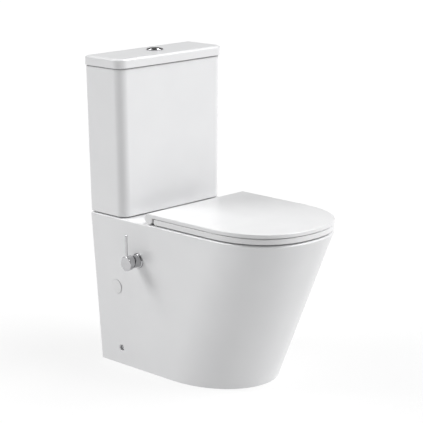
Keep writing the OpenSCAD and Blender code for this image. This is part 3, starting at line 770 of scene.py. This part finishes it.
def make_seat_ring():
    low, high = deck_z + 3, deck_z + 17.5
    back = 236
    reach = pan_l + 1
    under, top = 2.2, 3.2

    def ring(z, inset):
        return at(d_outline(seat_w - 2 * inset, seat_w - 2 * inset, reach - inset,
                            (deck_nose[0] - inset, deck_nose[1]), back + inset, 7), z)

    rings = [ring(low, under + 2)]
    rings += [ring(low + under * (1 - cos(a)), under * (1 - sin(a))) for a in quarter(4)]
    rings += [ring(high - top, 0)]
    rings += [ring(high - top + top * sin(a), top * (1 - cos(a))) for a in quarter(6)[1:]]
    rings.append(ring(high, top + 2))
    seat = loft("seat_ring", rings, (white_plastic,))
    shape = (110, 292, 561, 2.3)
    lip = 5
    steep = radians(80)
    lower = [(2 * sin(steep) + lip * (1 - cos(steep)), low + lip * (1 - sin(steep)) - 2 * cos(steep))]
    lower += [(lip * (1 - cos(a)), low + lip * (1 - sin(a))) for a in
              (steep * (5 - i) / 5 for i in range(6))]
    upper = [(grow, high - (z - low)) for grow, z in lower[::-1]]
    opening = [at(egg_outline(*shape, grow), z) for grow, z in lower + upper]
    combine(seat, [loft("seat_opening", opening, (white_plastic,))], CUT)
    lugs = []
    for side in (-1, 1):
        centre = side * 59
        lugs.append(hinge_lug("lug", centre, 16, 9, -back - 8, low + 2.5))
    combine(seat, lugs, JOIN)
    combine(seat, [rounded_rod("pin_hole", 6.5, 60, (side * 20, hinge_y, hinge_z), (side, 0, 0),
                               0.2, (white_plastic,)) for side in (-1, 1)], CUT)
    piece(finish_mesh(seat), "seat", "seat_plastic", "seat_ring")


def hinge_lug(name, x, width, r, front, low):
    """A knuckle round the hinge axis with a web that runs forward into its plate."""
    outline = [(front, hinge_z + 2), (hinge_y - r * 0.6, hinge_z + r * 0.8),
               *arc((hinge_y, hinge_z), r, 90, -60, 14), (hinge_y, low), (front, low)]
    edge, half = 0.8, width / 2
    rings = []
    for offset, shrink in ((-half, 0.93), (edge - half, 1.0), (half - edge, 1.0), (half, 0.93)):
        rings.append([(x + offset, hinge_y + (y - hinge_y) * shrink, hinge_z + (z - hinge_z) * shrink)
                      for y, z in outline])
    return loft(name, rings, (white_plastic,))


def make_seat_lid():
    low, top = deck_z + 18.8, cover_high.z
    span = 2 * cover_high.x
    reach = -cover_low.y
    nose = (deck_nose[0] + 1, deck_nose[1])
    back = -hinge_y
    under, edge = 0.9, 2.4

    def ring(z, inset):
        return at(d_outline(span - 2 * inset, span - 2 * inset, reach - inset,
                            (nose[0] - inset, nose[1]), back, 0.5), z)

    rings = [ring(low, under + 2)]
    rings += [ring(low + under * (1 - cos(a)), under * (1 - sin(a))) for a in quarter(4)]
    rings += [ring(top - 1.0 - edge, 0)]
    rings += [ring(top - 1.0 - edge + edge * sin(a), edge * (1 - cos(a))) for a in quarter(7)[1:]]
    rings += [ring(top - 0.75, edge + 8), ring(top - 0.3, edge + 30), ring(top, edge + 70)]
    lid = loft("seat_lid", rings, (white_plastic,))
    barrel = rounded_rod("barrel", 14, span, (-span / 2, hinge_y, hinge_z), (1, 0, 0), 1.6,
                         (white_plastic,), 0, 72)
    combine(lid, [barrel], JOIN)
    recess = [at(d_outline(span - 30, span - 30, reach - 15, nose, 240, 8), z)
              for z in (low - 1, low + 3.2)]
    recess.append(at(d_outline(span - 32, span - 32, reach - 16, nose, 241, 8), low + 4))
    cutters = [loft("recess", recess, (white_plastic,))]
    for side in (-1, 1):
        cutters.append(rounded_rod("notch", 10.6, 43, (side * 46, hinge_y, hinge_z), (side, 0, 0),
                                   0.2, (white_plastic,), 0, 56))
        cutters.append(rounded_rod("damper_hole", 7, 31, (side * 88, hinge_y, hinge_z), (side, 0, 0),
                                   0.2, (white_plastic,), 0, 40))
        cutters.append(box_solid("notch_box", sorted((side * 46, side * 89)),
                                 (hinge_y - 15, hinge_y + 15), (deck_z - 10, hinge_z + 9.6)))
    combine(lid, cutters, CUT)
    piece(finish_mesh(lid), "lid", "seat_plastic", "seat_lid")


def box_solid(name, xs, ys, zs, materials=(), index=0):
    corners = [(xs[0], ys[0]), (xs[1], ys[0]), (xs[1], ys[1]), (xs[0], ys[1])]
    return loft(name, [at(corners, zs[0]), at(corners, zs[1])], materials or (white_plastic,), index)


# ------------ small pieces

def bevelled(obj, width=0.4, segments=2, angle=40):
    """Rounds a solid's sharp edges."""
    modifier = obj.modifiers.new("edges", "BEVEL")
    modifier.width = width * MM
    modifier.segments = segments
    modifier.limit_method = "ANGLE"
    modifier.angle_limit = radians(angle)
    modifier.harden_normals = False
    apply_modifiers(obj)
    return obj


def part(node, solids, slot, body="root", sharp=38):
    """The finished look of one CAD node, from one or more separate solids."""
    obj = join(node, solids) if len(solids) > 1 else solids[0]
    obj.data.materials.clear()
    obj.data.materials.append(LOOKS[slot])
    for polygon in obj.data.polygons:
        polygon.material_index = 0
    return piece(finish_mesh(obj, sharp), body, slot, node)


def ring_profile(inner, outer, low, high, edge=0.5):
    """The section of a washer or tube with rounded edges, as a closed lathe profile."""
    e = min(edge, (high - low) / 2.2, (outer - inner) / 2.2)
    corners = ((outer - e, low + e, -90), (outer - e, high - e, 0),
               (inner + e, high - e, 90), (inner + e, low + e, 180))
    if inner < 1e-7:
        corners = corners[:2]
    points = [p for r, h, start in corners for p in arc((r, h), e, start, start + 90, 3)]
    return [(0, low), *points, (0, high)] if inner < 1e-7 else points


def ring_solid(name, inner, outer, low, high, origin, axis=UP, edge=0.5, sides=48):
    return lathe(name, ring_profile(inner, outer, low, high, edge), origin, axis, sides=sides)


def thread(r, low, high, pitch=1.5, depth=0.5):
    """Profile points of a screw thread's ridges, between two heights."""
    count = max(1, round((high - low) / pitch))
    step = (high - low) / count
    points = []
    for i in range(count):
        h = low + i * step
        points += [(r - depth, h + 0.1 * step), (r, h + 0.4 * step),
                   (r, h + 0.6 * step), (r - depth, h + 0.9 * step)]
    return points


def turned_outline(name, radius_at, bore, low, high, origin, axis, chamfer=1.0, steps=96):
    """A nut: any outline given as a radius for each angle, chamfered at both ends and bored through."""
    matrix = placed(origin, axis)
    angles = [2 * pi * i / steps for i in range(steps)]
    rings = []
    for h, inset in ((low, chamfer), (low + chamfer * 0.6, 0), (high - chamfer * 0.6, 0), (high, chamfer)):
        top = max(radius_at(a) for a in angles) - inset
        reach = [min(radius_at(a), top) for a in angles]
        rings.append([matrix @ Vector((r * cos(a), r * sin(a), h)) for r, a in zip(reach, angles)])
    nut = loft(name, rings)
    hole = rounded_rod("bore", bore, high - low + 4, matrix @ Vector((0, 0, low - 2)), axis, 0.2)
    return combine(nut, [hole], CUT)


def hexagon(r):
    """The outline of a hexagon with its corners at r."""
    flat = r * cos(pi / 6)
    return lambda a: min(r, flat / cos((a + pi / 6) % (pi / 3) - pi / 6))


def flutes(r, depth, count):
    """The outline of a round grip with grooves."""
    return lambda a: r - depth * (0.5 + 0.5 * cos(count * a)) ** 3


def both_sides(make):
    """The same solid on the left and on the right."""
    return [make(side) for side in (-1, 1)]


def make_mixer():
    out, ball, mid = Vector((-1, 0, 0)), 27, MIXER
    seat = Vector((-spot_x, mid.y, mid.z))
    ball_at = seat + out * ball

    def slanted_cut(offset, angle, near, far):
        """A slanted half space across the mixer, seen from the hidden side of the mirror."""
        c, s = cos(radians(angle)), sin(radians(angle))
        rings = []
        for x in (near, far):
            rings.append([(ball_at.x - offset - x * c - z * s, mid.y + y, mid.z - x * s + z * c)
                          for y, z in square(40)])
        return loft("cut", rings)

    flange = [(12.1, 0), (19.35, 0), (19.1, 1.2), (18.6, 3.2), *arc((17.0, 3.9), 1.1, 20, 90, 5), (12.1, 5)]
    part("mixer_escutcheon", [lathe("flange", flange, seat, out, sides=72)], "chrome")

    edge = 0.7
    outline = [(0, -52), (9.4, -52), *thread(10.48, -51, -34.5), (11.6, -34),
               (12, -33.6), (12, 5.1), (16.5 - edge, 5.1), (16.5, 5.1 + edge),
               (16.5, 31), (0, 31)]
    body = lathe("body", outline, seat, out, sides=72)
    tail = rounded_rod("outlet_tail", 5.5, 13, seat - out * 28 + Vector((0, 8, 0)), (0, 1, 0))
    combine(body, [tail], JOIN)
    pocket = [(0, -12.8)] + [(12.8 * cos(radians(a)), 12.8 * sin(radians(a)))
                                  for a in range(-84, 85, 6)] + [(0, 12.8)]
    bore = rounded_rod("bore", 9.2, 40, seat + out * 6, out, 0.2)
    socket = lathe("pocket", pocket, ball_at, out, sides=56)
    combine(body, [bore, socket, slanted_cut(-4, -20, 0, 30)], CUT)
    part("mixer_body", [body], "chrome", sharp=30)

    rim = 1.3
    cap = [(0, 13.4), (13.6, 13.4), (13.6, -6), (19, -6),
           *arc((19 - rim, 16.5 - rim), rim, 0, 90, 6), (0, 16.5)]
    handle = lathe("handle", cap, ball_at, out, sides=72)
    combine(handle, [slanted_cut(2, -13.5, -30, 0)], CUT)
    part("mixer_handle", [handle], "chrome", "mixer_grip", sharp=30)

    stem, length = 3.5, lever_high.z - mid.z - 18.7
    stick = [(0, 0), (stem, 0), (stem, 4), (stem - 0.25, 8), (stem - 0.25, length - stem - 3),
             (stem, length - stem - 1)]
    stick += [(stem * cos(a), length - stem + stem * sin(a)) for a in quarter(7)[:-1]] + [(0, length)]
    part("mixer_lever", [lathe("lever", stick, (lever_low.x + stem, mid.y, mid.z + 18.7), sides=40)],
         "chrome", "mixer_grip")
    part("mixer_backnut", [turned_outline("nut", hexagon(18), 12.1, -7, 0,
                                          seat - out * 12.4, out)], "brass", sharp=25)


def make_buttons():
    top = lid_high.z
    lip = 1.5
    shell = [(0, -26), (18.3, -26), *thread(18.8, -25, -4, 2),
             (18.8, -2.5), (18.8, 0), (21.7, 0), (22, 0.3), (22, 1.9)]
    shell += arc((22 - lip, 3.5 - lip), lip, 0, 90, 6)
    shell += arc((17.4, 2.8), 0.7, 90, 180, 4) + [(16.7, -24), (0, -24)]
    bezel = lathe("bezel", shell, (0, valve_y, top), sides=80)
    combine(bezel, [rounded_rod("rod_hole", 2.4, 10, (0, valve_y + y, top - 30), UP)
                    for y in (-11, 11)], CUT)
    part("button_bezel", [bezel], "chrome")
    part("bezel_nut", [turned_outline("nut", flutes(25, 1.2, 16), 18.9, -17, -9,
                                      (0, valve_y, top), UP)], "valve_white", sharp=30)
    plate = [(0, 0.5), (16.0, 0.5), (16.4, 0.9), (16.4, 3.7), (16.25, 4.2), (15.8, 4.7),
             (15.0, 5.15), (13, 5.55), (10, 5.95), (7, 6.2), (3.5, 6.4), (0, 6.5)]
    split = 4
    for node, body, far, rod, rod_body, colour in (
            ("full_flush_button", "full_press", 1, "full_push_rod", -11, "valve_blue"),
            ("half_flush_button", "half_press", -1, "half_push_rod", 11, "valve_white")):
        button = lathe("plate", plate, (0, valve_y, top), sides=96)
        ys = sorted((valve_y + split - far * 0.3, valve_y + far * 40))
        combine(button, [box_solid("half", (-30, 30), ys, (top - 5, top + 20))], CUT)
        part(node, [bevelled(button, 0.35, 3)], "chrome", body, 30)
        low, high = box(rod)
        stick = [(0, 0), (1.2, 0), (1.7, 0.4), (1.7, high.z - low.z - 6),
                 (2, high.z - low.z - 5), (2, high.z - low.z), (0, high.z - low.z)]
        part(rod, [lathe("rod", stick, (0, valve_y + rod_body, low.z), sides=24)], colour, body)


def make_button_springs():
    """A coil round each push rod."""
    wire, turns, steps, travel = 0.5, 5, 24, 8
    for size in ("full", "half"):
        node, joint = size + "_button_spring", size + "_flush_press"
        low, high = box(node)
        middle = (low + high) / 2
        r = (high.x - low.x) / 2 - wire
        turn = 2 * pi / steps
        count = turns * steps
        path = [(middle.x + r * cos(turn * i), middle.y + r * sin(turn * i),
                 mix(low.z + wire, high.z - wire, i / count)) for i in range(count + 1)]
        coil = part(node, [sweep("coil", path, wire, 10)], "steel")
        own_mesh(coil)


def make_hinges():
    edge = 0.8

    def post(side):
        x = side * 78
        outline = [(hinge_y + 6, deck_z + 1), *arc((hinge_y, hinge_z), 9, -48, 228, 28),
                   (hinge_y - 6, deck_z + 1)]
        rings = []
        for offset, inset in ((-10, edge), (edge - 10, 0), (10 - edge, 0), (10, edge)):
            k = 1 - inset / (9)
            rings.append([(x + offset, mix(hinge_y, y, k), max(deck_z + 1, mix(hinge_z, z, k)))
                          for y, z in outline])
        solid = loft("post", rings)
        foot = ring_solid("foot", 0, 10.5, 0, 2, (x, hinge_y, deck_z), edge=0.7)
        combine(solid, [foot], JOIN)
        return combine(solid, [rounded_rod("bore", 4.02, 30, (x - 15, hinge_y, hinge_z), (1, 0, 0))], CUT)

    part("hinge_posts", both_sides(post), "chrome")
    bolt = [(0, 0), (3.2, 0), *thread(4, 0.5, 40, 1.25), (4, 41), (4, 51.9), (0, 51.9)]
    part("hinge_bolts", both_sides(lambda side: lathe("bolt", bolt, (side * 78, hinge_y, deck_under - 26),
                                                      sides=32)), "steel", sharp=30)

    def nut(side):
        at_nut = (side * 78, hinge_y, deck_under - 12)
        grip = turned_outline("grip", flutes(9, 0.9, 10), 4.1, 0, 8.6, at_nut, UP, 0.6)
        return combine(grip, [ring_solid("flange", 4.1, 13, 8, 12, at_nut)], JOIN)

    part("hinge_nuts", both_sides(nut), "valve_white", sharp=30)
    seat_pads = [ring_solid("pad", 0, 7, 0, 2.8, (side * x, -y, deck_z + 0.2), edge=1.1)
                 for side in (-1, 1) for x, y in ((138, 290), (112, 540))]
    part("seat_buffers", seat_pads, "pale_rubber", "seat")
    lid_pads = [ring_solid("pad", 0, 4, 0, 1.8, (side * x, -y, deck_z + 17.7), edge=0.8)
                for side in (-1, 1) for x, y in ((163, 330), (100, 590))]
    part("lid_buffers", lid_pads, "pale_rubber", "lid")


def make_fixings():
    def cap(side):
        profile = [(0, -1), (14, -1), (14, -11.4), (14.4, -11.8), (15.6, -11.8), (16, -11.4), (16, 0.2),
                   (18.5, 0.2), (19, 0.6), (19, 1.0), (18.8, 1.4), (18.3, 1.7), (17.6, 1.8), (0, 1.8)]
        return lathe("cap", profile, (side * side_x(*CAP_AT), *CAP_AT), side_normal(side), sides=64)

    part("access_caps", both_sides(cap), "seat_plastic", sharp=30)
    inner = box("floor_brackets")[1].x

    def bracket(side):
        bend = [(inner - 42, 0), *arc((inner - 5, 5), 5, -90, 0, 6), (inner, 65),
                (inner - 3, 65), *arc((inner - 5, 5), 2, 0, -90, 4), (inner - 42, 3)]
        rings = [[(side * x, FIX_AT[0] + y, z) for x, z in bend] for y in (-20, 20)]
        solid = bevelled(loft("bracket", rings), 0.5)
        return combine(solid, [
            rounded_rod("hole", 2.6, 20, (side * (inner - 10), FIX_AT[0], FIX_AT[1]), (side, 0, 0)),
            rounded_rod("hole", 4, 20, (side * 113.5, FIX_AT[0], -8), UP),
        ], CUT)

    part("floor_brackets", both_sides(bracket), "steel", sharp=30)

    def screw(side):
        start = Vector((side * (side_x(*FIX_AT) - 34), FIX_AT[0], FIX_AT[1]))
        profile = [(0, 0), *thread(2.5, 2, 22, 1.6), (2.5, 26), (6.2, 26),
                   (6.5, 26.4), (6.4, 27.6), (5.2, 29.2), (3, 29.9), (0, 30)]
        solid = lathe("screw", profile, start, (side, 0, 0), sides=32)
        head = start + Vector((side * 30, 0, 0))
        for wide, tall in ((3.2, 0.5), (0.5, 3.2)):
            recess = box_solid("recess", sorted((head.x - side * 2, head.x + side * 1)),
                               (head.y - wide, head.y + wide), (head.z - tall, head.z + tall))
            combine(solid, [recess], CUT)
        return solid

    part("bracket_screws", both_sides(screw), "steel", sharp=30)


def make_tank_fittings():
    floor_z = tank_low.z + 14
    part("tank_gasket", [ring_solid("gasket", 41, 47, deck_z - 14, tank_low.z, (0, valve_y, 0),
                                    edge=1.5, sides=80)], "rubber")
    part("tank_pads", [ring_solid("pad", 0, 8, deck_z, tank_low.z, (side * 155, y, 0), edge=0.8)
                       for side in (-1, 1) for y in (-20, -112)], "pale_rubber")

    def bolt(side):
        low = deck_under - 28
        neck = floor_z + 3 - low
        profile = [(0, 0), *thread(4, 0.6, 46, 1.25), (4, 48), (4, neck),
                   (9.4, neck), (10, neck + 0.7), (9.2, neck + 2.6), (6.5, neck + 4.3),
                   (3, neck + 4.9), (0, neck + 5)]
        solid = lathe("bolt", profile, (side * 75, valve_y, low), sides=40)
        slot_z = low + neck + 5
        return combine(solid, [box_solid("slot", (side * 75 - 12, side * 75 + 12),
                                         (valve_y - 0.8, valve_y + 0.8), (slot_z - 2, slot_z + 1))],
                       CUT)

    part("tank_bolts", both_sides(bolt), "steel", sharp=30)

    def wing_nut(side):
        origin = Vector((side * 75, valve_y, deck_under - 12))
        hub = [(4.1, 0), (6.2, 0), (6.6, 0.4), (7, 9.6), (7, 10.2), (11.4, 10.2), (12, 10.7), (12, 11.5),
               (11.5, 12), (4.1, 12)]
        nut = lathe("hub", hub, origin, sides=48)
        for way in (-1, 1):
            wing = [(4.5, 1.0), (9, 0.4), (14, 0), *arc((15.5, 3), 2.5, -70, 60, 6), (15, 8.2),
                    *arc((13, 7.6), 1.4, 30, 120, 4), (9.5, 8.0), (6.5, 9.0), (4.5, 9.2)]
            rings = [[(origin.x + x, origin.y + way * mix(8, y, k), origin.z + mix(4.5, z, k))
                      for y, z in wing] for x, k in ((-1.5, 0.9), (-0.9, 1), (0.9, 1), (1.5, 0.9))]
            combine(nut, [loft("wing", rings)], JOIN)
        return nut

    part("tank_wing_nuts", both_sides(wing_nut), "brass", sharp=30)
    part("flush_backnut", [turned_outline("nut", flutes(40, 3, 12), 29.1, tank_low.z - 11, tank_low.z,
                                          (0, valve_y, 0), UP)], "valve_white", sharp=30)
    inlet = (125, -62, 0)
    low = deck_under - 20
    stem = [(0, low), (9.4, low), *thread(10.48, low + 0.6, low + 37.5, 1.8, 0.6),
            (9.8, low + 38), (9.8, floor_z), (16.5, floor_z), (17, floor_z + 0.5),
            (17, floor_z + 4.4), (16.4, floor_z + 5), (8.5, floor_z + 5),
            (8.5, 700), (0, 700)]
    part("fill_valve_body", [lathe("stem", stem, inlet, sides=48)], "valve_white", sharp=30)
    part("fill_shank_nut", [turned_outline("nut", hexagon(17), 9.9, tank_low.z - 10, tank_low.z, inlet,
                                           (0, 0, 1))], "brass", sharp=25)


def make_bidet_line():
    nozzle = [(0, 0), (6.4, 0), (7.6, 0.5), (8, 1.6), (8, 25.2), (7.6, 25.8), (5, 25.8), (5, 75.5),
              (4.6, 76), (0, 76)]
    tip = lathe("nozzle", nozzle, (0, -306, 330), (0, 1, 0), sides=48)
    jets = [rounded_rod("jet", 0.7, 4, (3.2 * cos(a), -308, (330 + 3.2 * sin(a))),
                        (0, 1, 0), 0.1, sides=16) for a in (2 * pi * i / 5 for i in range(5))]
    part("spray_nozzle", [combine(tip, jets, CUT)], "chrome", sharp=30)
    rear = box("nozzle_nut")
    part("nozzle_nut", [turned_outline("nut", hexagon(10), 5.1, 0, 7, (0, rear[0].y, 330), (0, 1, 0),
                                       0.7)], "brass", sharp=25)
    start = Vector((-spot_x + 28, MIXER.y + 21, MIXER.z))
    route = [start, start + Vector((0, 12, 0)), (-126, -120, 306), (-96, -112, 300), (-56, -120, 304),
             (-22, -150, 316), (-4, -190, 327), (0, -216, 330), (0, -230, 330)]
    part("nozzle_hose", [sweep("hose", spline(route, 8), 4.95, 24)], "hose")


# ------------ light, floor and camera

def soft_light(name, azimuth, elevation, strength, angle):
    """A broad, even light from far away, given by where it stands and how wide it looks."""
    data = bpy.data.lights.new(name, "SUN")
    data.energy = strength
    data.angle = radians(angle)
    light = bpy.data.objects.new(name, data)
    bpy.context.scene.collection.objects.link(light)
    a, e = radians(azimuth), radians(elevation)
    out = Vector((sin(a) * cos(e), -cos(a) * cos(e), sin(e)))
    light.location = out * 5
    light.rotation_mode = "QUATERNION"
    light.rotation_quaternion = out.to_track_quat("Z", "Y")


def studio_sky(horizon, zenith):
    """A backdrop that is brightest at eye level and fades upwards, which is what the chrome mirrors."""
    world = bpy.data.worlds.new("studio")
    world.use_nodes = True
    nodes, links = world.node_tree.nodes, world.node_tree.links
    direction = nodes.new("ShaderNodeTexCoord")
    height = nodes.new("ShaderNodeSeparateXYZ")
    fade = nodes.new("ShaderNodeMapRange")
    links.new(direction.outputs["Generated"], height.inputs[0])
    links.new(height.outputs["Z"], fade.inputs["Value"])
    fade.inputs["To Min"].default_value = horizon
    fade.inputs["To Max"].default_value = zenith
    links.new(fade.outputs["Result"], nodes["Background"].inputs["Strength"])
    nodes["Background"].inputs["Color"].default_value = (1.0, 1.0, 1.0, 1)
    bpy.context.scene.world = world


def make_stage():
    floor = loft("studio_floor", [at(square(40000), z) for z in (-20, -0.2)], (floor_paint(),))
    studio_sky(0.26, 0.06)
    soft_light("left_light", 222, 42, 2.25, 30)
    soft_light("right_light", 40, 50, 3.85, 40)


def make_camera():
    data = bpy.data.cameras.new("camera")
    camera = bpy.data.objects.new("camera", data)
    bpy.context.scene.collection.objects.link(camera)
    data.sensor_width = 36.0
    data.lens = 130.0
    data.clip_start, data.clip_end = 0.1, 100
    a, e, roll = radians(315.368), radians(13.686), radians(-0.594)
    back = Vector((sin(a) * cos(e), -cos(a) * cos(e), sin(e)))
    right = Vector((cos(a), sin(a), 0))
    up = back.cross(right)
    right, up = (cos(roll) * right + sin(roll) * up, cos(roll) * up - sin(roll) * right)
    turn = Matrix((right, up, back)).transposed().to_4x4()
    camera.matrix_world = Matrix.Translation(Vector((-2.69435, -3.0009, 1.35762))) @ turn
    bpy.context.scene.camera = camera


make_camera()
make_stage()
make_pan()
make_tank()
make_tank_lid()
make_seat_ring()
make_seat_lid()
make_mixer()
make_buttons()
make_button_springs()
make_hinges()
make_fixings()
make_tank_fittings()
make_bidet_line()

NODE_LOOKS = {
    "rubber": ("tank_bolt_washers", "canister_seal"),
    "valve_white": ("flush_valve_base", "fill_float"),
    "valve_grey": ("flush_valve_tower", "fill_valve_head", "seat_dampers", "lid_dampers", "mixer_cartridge"),
    "valve_red": ("flush_canister",),
    "valve_blue": ("flush_rocker", "fill_lever"),
    "steel": ("rocker_pin", "fill_lever_pin", "hinge_pins"),
    "pale_rubber": ("refill_tube",),
    "chrome": ("mixer_ball",),
}
for slot, nodes in NODE_LOOKS.items():
    for node in nodes:
        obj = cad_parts[node]
        obj.data.materials.clear()
        obj.data.materials.append(LOOKS[slot])

bpy.context.scene.view_settings.view_transform = "Standard"
